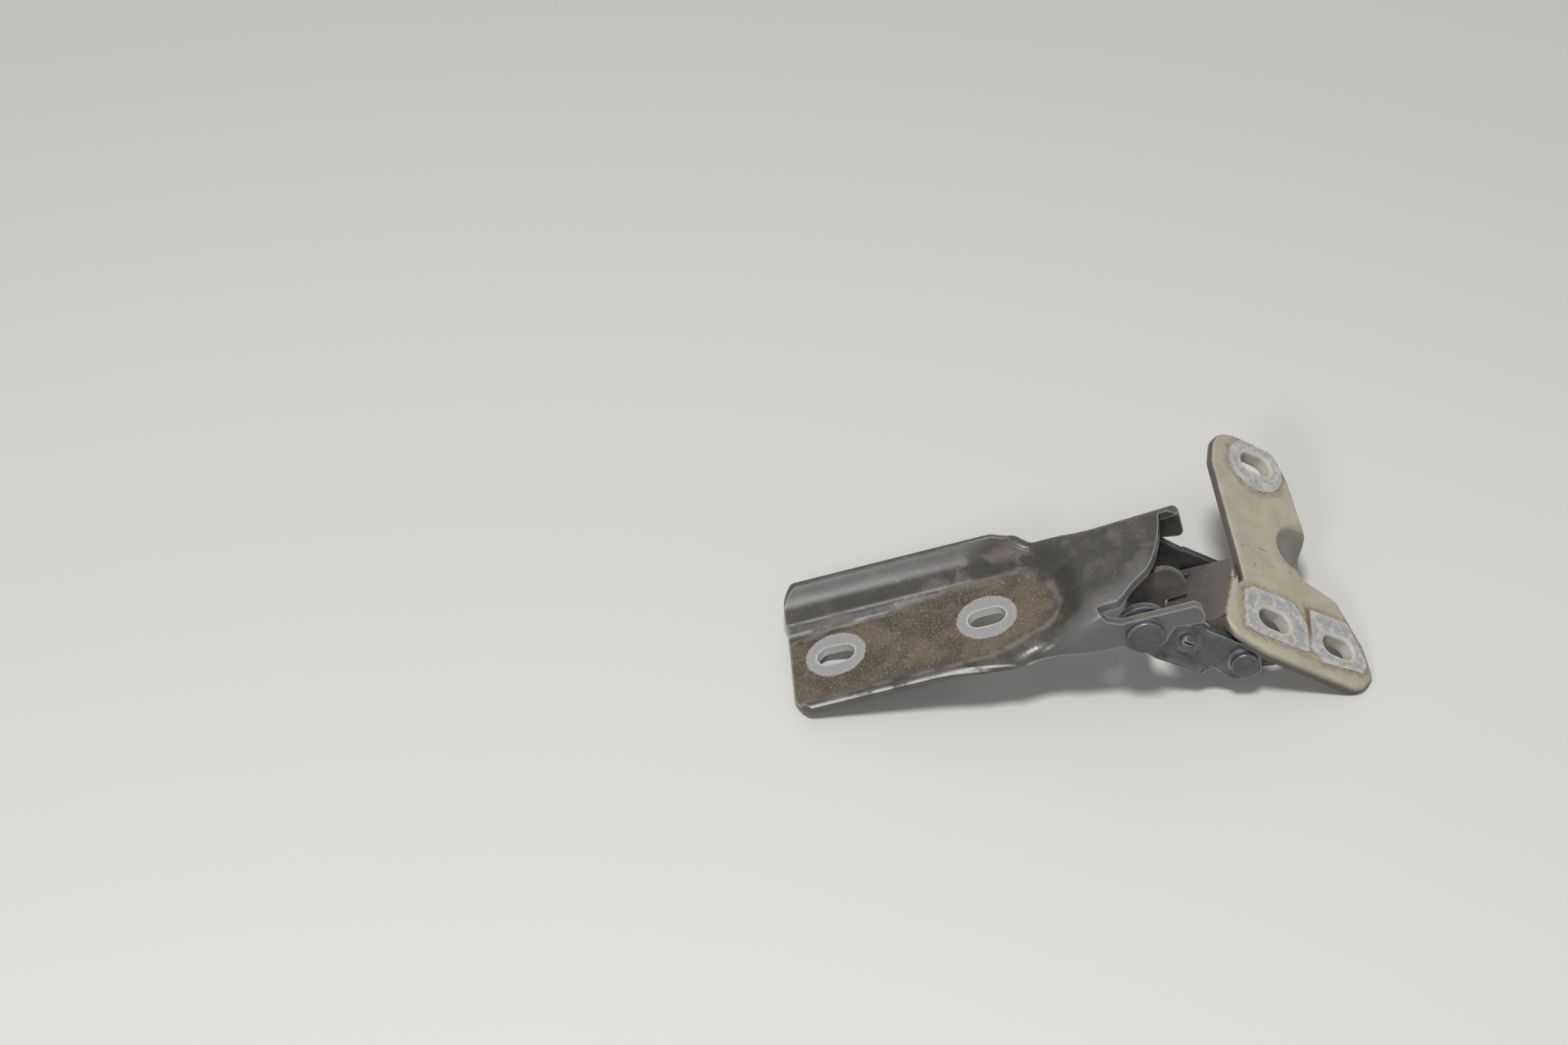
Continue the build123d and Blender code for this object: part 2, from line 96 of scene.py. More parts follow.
def insideOutline(tree, point, corners):
    # mm inside a convex outline whose corners go round anticlockwise, negative outside
    depth = None
    for (x0, y0), (x1, y1) in zip(corners, corners[1:] + corners[:1]):
        normal = Vector((y0 - y1, x1 - x0, 0)).normalized()
        start = normal.dot(Vector((x0, y0, 0)))
        reach = addNode(tree, "ShaderNodeVectorMath", {"operation": "DOT_PRODUCT"}, {0: point, 1: normal})
        reach = addNode(tree, "ShaderNodeMath", {"operation": "SUBTRACT"}, {0: reach, 1: start})
        depth = reach if depth is None else addNode(
            tree, "ShaderNodeMath", {"operation": "SMOOTH_MIN"}, {0: depth, 1: reach, 2: 1.5})
    return depth


def fromSlot(tree, point, centre, halfRun):
    # mm from the middle line of a slot that runs along X
    flat = addNode(tree, "ShaderNodeVectorMath", {"operation": "SUBTRACT"}, {0: point, 1: (*centre, 0)})
    parts = addNode(tree, "ShaderNodeSeparateXYZ", {}, {"Vector": flat}).outputs
    run = addNode(tree, "ShaderNodeMath", {"operation": "ABSOLUTE"}, {0: parts["X"]})
    run = addNode(tree, "ShaderNodeMath", {"operation": "SUBTRACT"}, {0: run, 1: halfRun})
    run = addNode(tree, "ShaderNodeMath", {"operation": "MAXIMUM"}, {0: run, 1: 0.0})
    both = addNode(tree, "ShaderNodeCombineXYZ", {}, {"X": run, "Y": parts["Y"]})
    return addNode(tree, "ShaderNodeVectorMath", {"operation": "LENGTH"}, {0: both})


def wornAndGlintingEdges(tree, reach):
    # 1 on outer edges and small outer rounds, where a look inward meets another face within reach mm
    inner = addNode(tree, "ShaderNodeAmbientOcclusion", {"inside": True, "samples": 6},
                    {"Distance": reach / 1000})
    return addNode(tree, "ShaderNodeMapRange", fade,
                   {"Value": inner.outputs["AO"], "From Min": 0.88, "From Max": 0.6})


# camera, where the photograph was taken from: a focal length of 4446 pixels in a frame 2000 wide
cameraLook = {"place": (0.120940, -1.008361, 0.878899), "right": (0.962913, -0.064382, -0.262017),
              "back": (0.117365, -0.774477, 0.621620), "sensor": 36.0, "lens": 36.0 * 4446 / 2000,
              "nearest": 0.05}
right = Vector(cameraLook["right"]).normalized()
back = Vector(cameraLook["back"])
back = (back - right * back.dot(right)).normalized()
camera = bpy.data.objects.new("camera", bpy.data.cameras.new("camera"))
camera.data.sensor_width = cameraLook["sensor"]
camera.data.lens = cameraLook["lens"]
camera.data.clip_start = cameraLook["nearest"]
camera.matrix_world = Matrix((right, back.cross(right), back)).transposed().to_4x4()
camera.location = cameraLook["place"]
bpy.context.scene.collection.objects.link(camera)
bpy.context.scene.camera = camera
print("camera placed")


# body bracket: deep drawn steel sheet in a black dip coat. The coat is smooth and half glossy, greyed by
# wear; road dust lies in the channel as brown grain, and the bolts have left pale washer prints
bracketLook = {
    "coat": "#3f3d3a", "rubbed": "#4e4a44", "arm": "#636363", "dust": "#80776a", "edge": "#b4b4b2",
    "soil": "#665a48", "soilDark": "#443d33", "soilLight": "#8c7f68", "fleck": "#b9b5aa",
    "print": "#a4a39f", "printDark": "#93928e", "printRing": "#8f8e97", "slotWall": "#b4b5b1",
    # sizes of the patterns in mm
    "cloudSize": 12.0, "patchSize": 11.0, "driftSize": 14.0, "grainSize": 1.0, "fleckSpacing": 2.4,
    "rippleSize": 3.0, "edgeReach": 1.0,
    # how much of each shows
    "armAmount": 0.85, "dustAmount": 0.22, "grainAmount": 0.9, "tideAmount": 0.55, "fleckAmount": 0.75,
    "ringAmount": 0.5, "edgeAmount": 0.4, "rimAmount": 0.75,
    # roughness of the clean coat and of the soil, bump depths in mm
    "smooth": 0.29, "dull": 0.9, "grainDepth": 0.16, "bowDepth": 2.4,
    # places in mm on the part; a pair goes from where a pattern is clear to where it is full
    "armSlope": -2.2, "armFade": (96.0, 120.0), "soilFade": (3.2, 0.8), "rimHighlightFade": (-27.8, -28.8),
    "ringFade": (10.6, 9.4), "bandAlong": (46.0, 26.0), "bandAcross": (14.0, 18.0), "bandLevel": (19.0, 7.0),
    "slots": ((-30, 0), (30, 0)), "slotHalfRun": 2.75, "printRadius": 11.9,
    "bowl": [(-60, -23.0), (30, -21.0), (44, -15.5), (54, -10.5), (58, -2), (56, 8), (51, 19), (44, 23),
             (-8, 17.5), (-34, 13), (-60, 9)],
}


def dipCoatedSheet(look):
    material, tree, shader = newMaterial("dipCoatedSheet")
    point = millimetres(tree)
    ragged = raggedPoint(tree, point, 5.0, 1.6)
    fine = raggedPoint(tree, point, 1.6, 0.7)
    along, across, level = addNode(tree, "ShaderNodeSeparateXYZ", {}, {"Vector": point}).outputs
    facing = addNode(tree, "ShaderNodeTexCoord").outputs["Normal"]
    facing = addNode(tree, "ShaderNodeSeparateXYZ", {}, {"Vector": facing}).outputs["Z"]
    top = addNode(tree, "ShaderNodeMapRange", fade, {"Value": facing, "From Min": 0.05, "From Max": 0.5})

    # the coat, cloudy and rubbed lighter in places
    clouds = addNode(tree, "ShaderNodeTexNoise", {},
                     {"Vector": point, "Scale": 1 / look["cloudSize"], "Detail": 6.0, "Roughness": 0.62,
                      "Distortion": 0.6})
    rubbed = addNode(tree, "ShaderNodeMapRange", fade, {"Value": clouds, "From Min": 0.42, "From Max": 0.66})
    color = addNode(tree, "ShaderNodeMix", rgb, {"Factor": rubbed, "A": look["coat"], "B": look["rubbed"]})
    # the near arm has lost the brown cast and shows the steel grey of the primer
    arm = addNode(tree, "ShaderNodeMath", {"operation": "MULTIPLY_ADD"},
                  {0: across, 1: look["armSlope"], 2: along})
    arm = addNode(tree, "ShaderNodeMapRange", fade,
                  {"Value": arm, "From Min": look["armFade"][0], "From Max": look["armFade"][1],
                   "To Max": look["armAmount"]})
    color = addNode(tree, "ShaderNodeMix", rgb, {"Factor": arm, "A": color, "B": look["arm"]})
    # dried dust in flat patches with torn borders, on what faces up
    patches = addNode(tree, "ShaderNodeTexNoise", {},
                      {"Vector": ragged, "Scale": 1 / look["patchSize"], "Detail": 6.0, "Roughness": 0.6,
                       "Distortion": 0.3})
    dust = addNode(tree, "ShaderNodeMapRange", fade, {"Value": facing, "From Min": 0.52, "From Max": 0.8})
    dust = addNode(tree, "ShaderNodeMapRange", fade,
                   {"Value": patches, "From Min": 0.50, "From Max": 0.64, "To Max": dust})
    thin = addNode(tree, "ShaderNodeMath", product, {0: dust, 1: look["dustAmount"]})
    color = addNode(tree, "ShaderNodeMix", rgb, {"Factor": thin, "A": color, "B": look["dust"]})

    # soil in the bowl, darker where it is damp and thin toward its border. Its real grains of 0.4 mm are
    # finer than a pixel, so they are drawn at 1 mm
    bowl = insideOutline(tree, ragged, look["bowl"])
    soil = addNode(tree, "ShaderNodeMapRange", fade,
                   {"Value": level, "From Min": look["soilFade"][0], "From Max": look["soilFade"][1],
                    "To Max": top})
    soil = addNode(tree, "ShaderNodeMapRange", fade,
                   {"Value": bowl, "From Min": -0.6, "From Max": 3.0, "To Max": soil})
    grain = addNode(tree, "ShaderNodeTexNoise", {},
                    {"Vector": point, "Scale": 1 / look["grainSize"], "Detail": 4.0, "Roughness": 0.75})
    drift = addNode(tree, "ShaderNodeTexNoise", {},
                    {"Vector": point, "Scale": 1 / look["driftSize"], "Detail": 4.0, "Distortion": 0.8})
    dry = addNode(tree, "ShaderNodeMapRange", fade, {"Value": drift, "From Min": 0.38, "From Max": 0.62})
    soilColor = addNode(tree, "ShaderNodeMix", rgb, {"Factor": dry, "A": look["soilDark"], "B": look["soil"]})
    pale = addNode(tree, "ShaderNodeMapRange", fade,
                   {"Value": grain, "From Min": 0.50, "From Max": 0.66, "To Max": look["grainAmount"]})
    soilColor = addNode(tree, "ShaderNodeMix", rgb, {"Factor": pale, "A": soilColor, "B": look["soilLight"]})
    cover = addNode(tree, "ShaderNodeMath", {"operation": "MULTIPLY_ADD"}, {0: grain, 1: 0.7, 2: 0.42})
    soil = addNode(tree, "ShaderNodeMath", {"operation": "MULTIPLY", "use_clamp": True}, {0: soil, 1: cover})
    color = addNode(tree, "ShaderNodeMix", rgb, {"Factor": soil, "A": color, "B": soilColor})
    # a paler tide line along the bowl's border
    tide = addNode(tree, "ShaderNodeMapRange", fade,
                   {"Value": patches, "From Min": 0.40, "From Max": 0.52, "To Max": top})
    tide = addNode(tree, "ShaderNodeMapRange", fade,
                   {"Value": bowl, "From Min": 1.2, "From Max": -0.8, "To Max": tide})
    tide = addNode(tree, "ShaderNodeMapRange", fade,
                   {"Value": bowl, "From Min": -3.4, "From Max": -1.2, "To Max": tide})
    tide = addNode(tree, "ShaderNodeMath", product, {0: tide, 1: look["tideAmount"]})
    color = addNode(tree, "ShaderNodeMix", rgb, {"Factor": tide, "A": color, "B": look["dust"]})

    # pale flecks of grit
    cells = addNode(tree, "ShaderNodeTexVoronoi", {}, {"Vector": point, "Scale": 1 / look["fleckSpacing"]})
    fleck = addNode(tree, "ShaderNodeMapRange", fade,
                    {"Value": clouds, "From Min": 0.40, "From Max": 0.56, "To Max": top})
    fleck = addNode(tree, "ShaderNodeMapRange", fade,
                    {"Value": cells, "From Min": 0.10, "From Max": 0.05, "To Max": fleck})
    fleck = addNode(tree, "ShaderNodeMath", product, {0: fleck, 1: look["fleckAmount"]})
    color = addNode(tree, "ShaderNodeMix", rgb, {"Factor": fleck, "A": color, "B": look["fleck"]})

    # washer prints, pale with a bluish ring where the washer's dish pressed
    worn = addNode(tree, "ShaderNodeMapRange", fade, {"Value": grain, "From Min": 0.42, "From Max": 0.62})
    stain = addNode(tree, "ShaderNodeMix", rgb, {"Factor": worn, "A": look["printDark"], "B": look["print"]})
    floor = addNode(tree, "ShaderNodeMapRange", fade, {"Value": level, "From Min": 3.0, "From Max": 1.5})
    clean = None
    for centre in look["slots"]:
        middle = addNode(tree, "ShaderNodeVectorMath", {"operation": "DISTANCE"}, {0: fine, 1: (*centre, 0)})
        slot = fromSlot(tree, fine, centre, look["slotHalfRun"])
        disc = addNode(tree, "ShaderNodeMapRange", fade,
                       {"Value": middle, "From Min": look["printRadius"] + 0.35,
                        "From Max": look["printRadius"] - 0.35, "To Max": floor})
        ring = addNode(tree, "ShaderNodeMapRange", fade,
                       {"Value": middle, "From Min": look["ringFade"][0], "From Max": look["ringFade"][1],
                        "To Max": look["ringAmount"]})
        ring = addNode(tree, "ShaderNodeMapRange", fade,
                       {"Value": slot, "From Min": 5.6, "From Max": 6.6, "To Max": ring})
        shade = addNode(tree, "ShaderNodeMix", rgb, {"Factor": ring, "A": stain, "B": look["printRing"]})
        wall = addNode(tree, "ShaderNodeMapRange", fade, {"Value": slot, "From Min": 5.7, "From Max": 5.0})
        shade = addNode(tree, "ShaderNodeMix", rgb, {"Factor": wall, "A": shade, "B": look["slotWall"]})
        color = addNode(tree, "ShaderNodeMix", rgb, {"Factor": disc, "A": color, "B": shade})
        clean = disc if clean is None else addNode(
            tree, "ShaderNodeMath", {"operation": "MAXIMUM"}, {0: clean, 1: disc})

    # worn arrises, partly a painted highlight, and a painted highlight along the near rim as a bright line
    edges = addNode(tree, "ShaderNodeMapRange", fade,
                    {"Value": clouds, "From Min": 0.28, "From Max": 0.5, "To Max": look["edgeAmount"]})
    edges = addNode(tree, "ShaderNodeMath", product, {0: edges, 1: wornAndGlintingEdges(tree, look["edgeReach"])})
    color = addNode(tree, "ShaderNodeMix", rgb, {"Factor": edges, "A": color, "B": look["edge"]})
    # painted highlight: the near rim's upward faces are lightened toward the edge colour
    rim = addNode(tree, "ShaderNodeMapRange", fade,
                  {"Value": clouds, "From Min": 0.36, "From Max": 0.56, "To Max": look["rimAmount"]})
    rim = addNode(tree, "ShaderNodeMapRange", fade,
                  {"Value": facing, "From Min": 0.2, "From Max": 0.6, "To Max": rim})
    rim = addNode(tree, "ShaderNodeMapRange", fade,
                  {"Value": along, "From Min": 44.0, "From Max": 30.0, "To Max": rim})
    rim = addNode(tree, "ShaderNodeMapRange", fade,
                  {"Value": across, "From Min": look["rimHighlightFade"][0], "From Max": look["rimHighlightFade"][1],
                   "To Max": rim})
    color = addNode(tree, "ShaderNodeMix", rgb, {"Factor": rim, "A": color, "B": look["edge"]})

    dull = addNode(tree, "ShaderNodeMath", product, {0: dust, 1: 0.5})
    dull = addNode(tree, "ShaderNodeMath", {"operation": "MAXIMUM"}, {0: soil, 1: dull})
    rough = addNode(tree, "ShaderNodeMapRange", {},
                    {"Value": dull, "To Min": look["smooth"], "To Max": look["dull"]})
    rough = addNode(tree, "ShaderNodeMath", {"operation": "MULTIPLY_ADD"}, {0: clean, 1: 0.25, 2: rough})
    ripple = addNode(tree, "ShaderNodeTexNoise", {},
                     {"Vector": point, "Scale": 1 / look["rippleSize"], "Detail": 3.0})
    height = addNode(tree, "ShaderNodeMath", product, {0: grain, 1: soil})
    height = addNode(tree, "ShaderNodeMath", {"operation": "MULTIPLY_ADD"}, {0: ripple, 1: 0.16, 2: height})
    bump = finishShader(tree, shader, color, rough, height, look["grainDepth"])
    # the far wall was drawn a little fuller along its upper third, which gathers the light into a band
    bow = addNode(tree, "ShaderNodeMapRange", fade,
                  {"Value": along, "From Min": look["bandAlong"][0], "From Max": look["bandAlong"][1]})
    bow = addNode(tree, "ShaderNodeMapRange", fade,
                  {"Value": across, "From Min": look["bandAcross"][0], "From Max": look["bandAcross"][1],
                   "To Max": bow})
    bow = addNode(tree, "ShaderNodeMapRange", fade,
                  {"Value": level, "From Min": look["bandLevel"][0], "From Max": look["bandLevel"][1],
                   "To Max": bow})
    bow = addNode(tree, "ShaderNodeBump", {}, {"Height": bow, "Distance": look["bowDepth"] / 1000})
    tree.links.new(bow.outputs[0], bump.inputs["Normal"])
    return material


# lid bracket: stamped sheet in cream baked body paint. It is an even satin on the face and rolls over the
# edges; the bolted pads are rubbed to dull grey metal with grime round them, and the web that never saw
# the spray gun stays dark with brush marks. Places are in mm on the plate, from its near left corner
lidLook = {
    "paint": "#aba593", "paintShade": "#9c9681", "roll": "#a8a28c", "rollShade": "#6f6b61",
    "bare": "#a4a2a2", "bareLight": "#bebdbb", "bareDark": "#949290", "grime": "#7a6c54", "groove": "#6a5638",
    "dish": "#8a8580", "dishShaded": "#57524f", "slotWall": "#b8b6aa", "cutEdge": "#554f4b",
    "web": "#4c4745", "webRub": "#69645f",
    # sizes of the patterns in mm, and how much of each shows
    "cloudSize": 16.0, "mottleSize": 2.6, "streakSize": 4.0,
    "rollAmount": 0.8, "dishAmount": 0.85, "grimeAmount": 0.75, "streakAmount": 0.7, "outlineAmount": 0.3,
    "keptAmount": 0.75, "rimAmount": 0.6, "grooveAmount": 0.8, "scratchAmount": 0.7, "depth": 0.12,
    "corner": (126.35, -25.0, -23.85), "along": (0.7071, 0.0, -0.7071), "up": (0.147, 0.978, 0.147),
    "pads": ([(-3.7, 8.0), (0.4, 6.3), (26.1, 6.7), (25.9, 20.5), (19.8, 28.9), (0.6, 28.8), (-3.7, 25.3)],
             [(27.7, 9.5), (32.6, 4.9), (51.8, 7.5), (53.8, 13.0), (45.4, 29.8), (26.9, 29.1)]),
    "lobe": (5.6, 92.6), "lobeRadius": 12.7, "slots": ((10.3, 16.0), (40.3, 15.8), (5.8, 93.8)),
    "slotHalfRun": 2.5, "dishCentre": (25.0, 58.0), "dishFade": (15.5, 5.0), "rollFade": (-0.15, -1.0),
    "grimeFade": (-4.2, -0.6), "neckStart": (34.0, 38.0), "neckEnd": (56.0, 50.0),
    "grooveOutline": [(26.0, 4.0), (27.8, 4.0), (27.6, 18.0), (27.4, 29.5), (20.6, 29.5), (25.9, 19.5)],
}


def bakedCreamPaint(look):
    material, tree, shader = newMaterial("bakedCreamPaint")
    along, up = Vector(look["along"]), Vector(look["up"])
    turn = Matrix((along, up, along.cross(up))).transposed().to_euler()
    point = millimetres(tree, look["corner"], tuple(turn))
    across, upward, level = addNode(tree, "ShaderNodeSeparateXYZ", {}, {"Vector": point}).outputs
    flat = addNode(tree, "ShaderNodeVectorMath", product, {0: point, 1: (1, 1, 0)})
    ragged = raggedPoint(tree, flat, 3.2, 1.0)
    fine = raggedPoint(tree, flat, 1.0, 0.3)

    clouds = addNode(tree, "ShaderNodeTexNoise", {},
                     {"Vector": point, "Scale": 1 / look["cloudSize"], "Detail": 5.0, "Roughness": 0.6,
                      "Distortion": 0.5})
    mottle = addNode(tree, "ShaderNodeTexNoise", {},
                     {"Vector": point, "Scale": 1 / look["mottleSize"], "Detail": 6.0, "Roughness": 0.7})
    shade = addNode(tree, "ShaderNodeMapRange", fade, {"Value": clouds, "From Min": 0.35, "From Max": 0.68})
    color = addNode(tree, "ShaderNodeMix", rgb,
                    {"Factor": shade, "A": look["paint"], "B": look["paintShade"]})
    # the rolled edge, with painted shade on the lobe's left side and darker further round the roll, where it
    # turns away from the light
    left = addNode(tree, "ShaderNodeMapRange", fade, {"Value": across, "From Min": 9.0, "From Max": 3.0})
    left = addNode(tree, "ShaderNodeMapRange", fade,
                   {"Value": upward, "From Min": 24.0, "From Max": 34.0, "To Max": left})
    rolled = addNode(tree, "ShaderNodeMix", rgb, {"Factor": left, "A": look["roll"], "B": look["rollShade"]})
    under = addNode(tree, "ShaderNodeMapRange", fade,
                    {"Value": clouds, "From Min": 0.25, "From Max": 0.5, "To Max": 0.8})
    under = addNode(tree, "ShaderNodeMapRange", fade,
                    {"Value": level, "From Min": -0.7, "From Max": -2.4, "To Max": under})
    rolled = addNode(tree, "ShaderNodeMix", rgb, {"Factor": under, "A": rolled, "B": look["rollShade"]})
    roll = addNode(tree, "ShaderNodeMapRange", fade,
                   {"Value": level, "From Min": look["rollFade"][0], "From Max": look["rollFade"][1],
                    "To Max": look["rollAmount"]})
    color = addNode(tree, "ShaderNodeMix", rgb, {"Factor": roll, "A": color, "B": rolled})

    # the dish in the waist is grey from rubbing, with painted shade making it darkest toward the open side,
    # where the edge curls down
    dish = addNode(tree, "ShaderNodeVectorMath", {"operation": "DISTANCE"},
                   {0: ragged, 1: (*look["dishCentre"], 0)})
    dish = addNode(tree, "ShaderNodeMapRange", fade,
                   {"Value": dish, "From Min": look["dishFade"][0], "From Max": look["dishFade"][1]})
    openSideShade = addNode(tree, "ShaderNodeMapRange", fade, {"Value": across, "From Min": 14.0, "From Max": 29.0})
    dishColor = addNode(tree, "ShaderNodeMix", rgb,
                        {"Factor": openSideShade, "A": look["dish"], "B": look["dishShaded"]})
    grey =addNode(tree, "ShaderNodeMath", product, {0: dish, 1: look["dishAmount"]})
    color = addNode(tree, "ShaderNodeMix", rgb, {"Factor": grey, "A": color, "B": dishColor})

    # clamped places, with grime in a band of 4 mm round them
    lobe = addNode(tree, "ShaderNodeVectorMath", {"operation": "DISTANCE"},
                   {0: ragged, 1: (*look["lobe"], 0)})
    inside = addNode(tree, "ShaderNodeMath", {"operation": "SUBTRACT"}, {0: look["lobeRadius"], 1: lobe})
    for corners in look["pads"]:
        pad = insideOutline(tree, ragged, corners)
        inside = addNode(tree, "ShaderNodeMath", {"operation": "MAXIMUM"}, {0: inside, 1: pad})
    grime = addNode(tree, "ShaderNodeMapRange", fade,
                    {"Value": mottle, "From Min": 0.32, "From Max": 0.60, "To Max": look["grimeAmount"]})
    grime = addNode(tree, "ShaderNodeMapRange", fade,
                    {"Value": inside, "From Min": look["grimeFade"][0], "From Max": look["grimeFade"][1],
                     "To Max": grime})
    color = addNode(tree, "ShaderNodeMix", rgb, {"Factor": grime, "A": color, "B": look["grime"]})
    rub = addNode(tree, "ShaderNodeMapRange", fade, {"Value": inside, "From Min": -0.25, "From Max": 0.35})
    dry = addNode(tree, "ShaderNodeMapRange", fade, {"Value": mottle, "From Min": 0.38, "From Max": 0.66})
    bare = addNode(tree, "ShaderNodeMix", rgb, {"Factor": dry, "A": look["bareDark"], "B": look["bare"]})
    streaks = addNode(tree, "ShaderNodeTexNoise", {},
                      {"Vector": ragged, "Scale": 1 / look["streakSize"], "Detail": 5.0, "Distortion": 1.2})
    streaks = addNode(tree, "ShaderNodeMapRange", fade,
                      {"Value": streaks, "From Min": 0.47, "From Max": 0.62, "To Max": look["streakAmount"]})
    bare = addNode(tree, "ShaderNodeMix", rgb, {"Factor": streaks, "A": bare, "B": look["bareLight"]})
    outline = addNode(tree, "ShaderNodeMapRange", fade,
                      {"Value": mottle, "From Min": 0.36, "From Max": 0.5, "To Max": look["outlineAmount"]})
    outline = addNode(tree, "ShaderNodeMapRange", fade,
                      {"Value": inside, "From Min": 2.4, "From Max": 1.0, "To Max": outline})
    bare = addNode(tree, "ShaderNodeMix", rgb, {"Factor": outline, "A": bare, "B": look["bareLight"]})
    color = addNode(tree, "ShaderNodeMix", rgb, {"Factor": rub, "A": color, "B": bare})
    # the paint survives close round the slots and down their walls
    wall = None
    for centre in look["slots"]:
        near = fromSlot(tree, fine, centre, look["slotHalfRun"])
        kept = addNode(tree, "ShaderNodeMapRange", fade, {"Value": near, "From Min": 6.9, "From Max": 5.6})
        thin = addNode(tree, "ShaderNodeMath", product, {0: kept, 1: look["keptAmount"]})
        color = addNode(tree, "ShaderNodeMix", rgb, {"Factor": thin, "A": color, "B": look["slotWall"]})
        rim = addNode(tree, "ShaderNodeMapRange", fade,
                      {"Value": mottle, "From Min": 0.42, "From Max": 0.6, "To Max": look["rimAmount"]})
        rim = addNode(tree, "ShaderNodeMapRange", fade,
                      {"Value": near, "From Min": 6.7, "From Max": 7.3, "To Max": rim})
        rim = addNode(tree, "ShaderNodeMapRange", fade,
                      {"Value": near, "From Min": 8.2, "From Max": 7.5, "To Max": rim})
        color = addNode(tree, "ShaderNodeMix", rgb, {"Factor": rim, "A": color, "B": look["bareLight"]})
        wall = kept if wall is None else addNode(
            tree, "ShaderNodeMath", {"operation": "MAXIMUM"}, {0: wall, 1: kept})
    # brown groove between the two pads, widening at its far end
    groove = insideOutline(tree, fine, look["grooveOutline"])
    groove = addNode(tree, "ShaderNodeMapRange", fade,
                     {"Value": groove, "From Min": -0.9, "From Max": 0.2, "To Max": look["grooveAmount"]})
    color = addNode(tree, "ShaderNodeMix", rgb, {"Factor": groove, "A": color, "B": look["groove"]})
    # thin dark scratches across the neck, in cells of 17 by 1.1 mm
    lines = addNode(tree, "ShaderNodeMapping", {},
                    {"Vector": flat, "Rotation": (0, 0, 0.18), "Scale": (0.06, 0.9, 1)})
    lines = addNode(tree, "ShaderNodeTexVoronoi", {"feature": "DISTANCE_TO_EDGE"},
                    {"Vector": lines, "Scale": 1.0})
    neck = addNode(tree, "ShaderNodeMapRange", fade,
                   {"Value": mottle, "From Min": 0.48, "From Max": 0.56, "To Max": look["scratchAmount"]})
    neck = addNode(tree, "ShaderNodeMapRange", fade,
                   {"Value": lines, "From Min": 0.035, "From Max": 0.012, "To Max": neck})
    neck = addNode(tree, "ShaderNodeMapRange", fade,
                   {"Value": upward, "From Min": look["neckStart"][0], "From Max": look["neckStart"][1],
                    "To Max": neck})
    neck = addNode(tree, "ShaderNodeMapRange", fade,
                   {"Value": upward, "From Min": look["neckEnd"][0], "From Max": look["neckEnd"][1],
                    "To Max": neck})
    color = addNode(tree, "ShaderNodeMix", rgb, {"Factor": neck, "A": color, "B": look["cutEdge"]})

    # what the paint does not reach: cut edges, underside, web and cheeks. It hangs lower at the near lip
    limit = addNode(tree, "ShaderNodeMapRange", fade,
                    {"Value": upward, "From Min": 8.0, "From Max": 3.0, "To Min": -0.55, "To Max": -2.75})
    below = addNode(tree, "ShaderNodeMath", {"operation": "SUBTRACT"}, {0: level, 1: limit})
    below = addNode(tree, "ShaderNodeMath", {"operation": "MULTIPLY_ADD"}, {0: mottle, 1: 0.8, 2: below})
    hidden = addNode(tree, "ShaderNodeMapRange", fade, {"Value": below, "From Min": 0.75, "From Max": 0.05})
    keep = addNode(tree, "ShaderNodeMapRange", fade,
                   {"Value": level, "From Min": -6.0, "From Max": -4.8, "To Max": dish})
    keep = addNode(tree, "ShaderNodeMath", {"operation": "MAXIMUM"}, {0: wall, 1: keep})
    hidden = addNode(tree, "ShaderNodeMath", {"operation": "SUBTRACT", "use_clamp": True},
                     {0: hidden, 1: keep})
    # brush marks of 9 by 0.45 mm
    brush = addNode(tree, "ShaderNodeMapping", {},
                    {"Vector": point, "Rotation": (0, 0, 0.7), "Scale": (0.08, 1.6, 1)})
    brush = addNode(tree, "ShaderNodeTexNoise", {},
                    {"Vector": brush, "Scale": 1.4, "Detail": 3.0, "Roughness": 0.6})
    marks = addNode(tree, "ShaderNodeMapRange", fade, {"Value": brush, "From Min": 0.48, "From Max": 0.72})
    web = addNode(tree, "ShaderNodeMix", rgb, {"Factor": marks, "A": look["web"], "B": look["webRub"]})
    cut = addNode(tree, "ShaderNodeMapRange", fade, {"Value": level, "From Min": -7.0, "From Max": -4.0})
    web = addNode(tree, "ShaderNodeMix", rgb, {"Factor": cut, "A": web, "B": look["cutEdge"]})
    color = addNode(tree, "ShaderNodeMix", rgb, {"Factor": hidden, "A": color, "B": web})

    rough = addNode(tree, "ShaderNodeMapRange", {},
                    {"Value": mottle, "From Min": 0.3, "From Max": 0.7, "To Min": 0.42, "To Max": 0.58})
    rough = addNode(tree, "ShaderNodeMath", {"operation": "MULTIPLY_ADD"}, {0: grime, 1: 0.3, 2: rough})
    worn = addNode(tree, "ShaderNodeMath", product, {0: rub, 1: 0.5})
    worn = addNode(tree, "ShaderNodeMath", {"operation": "MAXIMUM"}, {0: worn, 1: hidden})
    worn = addNode(tree, "ShaderNodeMath", product, {0: worn, 1: brush})
    height = addNode(tree, "ShaderNodeMath", product, {0: mottle, 1: 0.35})
    height = addNode(tree, "ShaderNodeMath", {"operation": "MULTIPLY_ADD"}, {0: worn, 1: 0.5, 2: height})
    finishShader(tree, shader, color, rough, height, look["depth"])
    return material


# links: stamped steel with a grey phosphate coat, a crystalline skin that looks smooth and half matt, with
# fine drawing scratches and bright arrises, worn and partly a painted highlight. The boss of the control link
# is rubbed brighter still, with a painted highlight on it
linkLook = {"skin": "#565759", "skinLight": "#68696b", "dirt": "#4a4440", "edge": "#c3c5c6",
            "scratch": "#7f8386", "metallic": 0.5, "rough": 0.3, "edgeReach": 0.6,
            "boss": (102.6, -31.0, -18.6), "bossFade": (4.6, 3.4), "bossRubAndHighlight": "#97989a"}
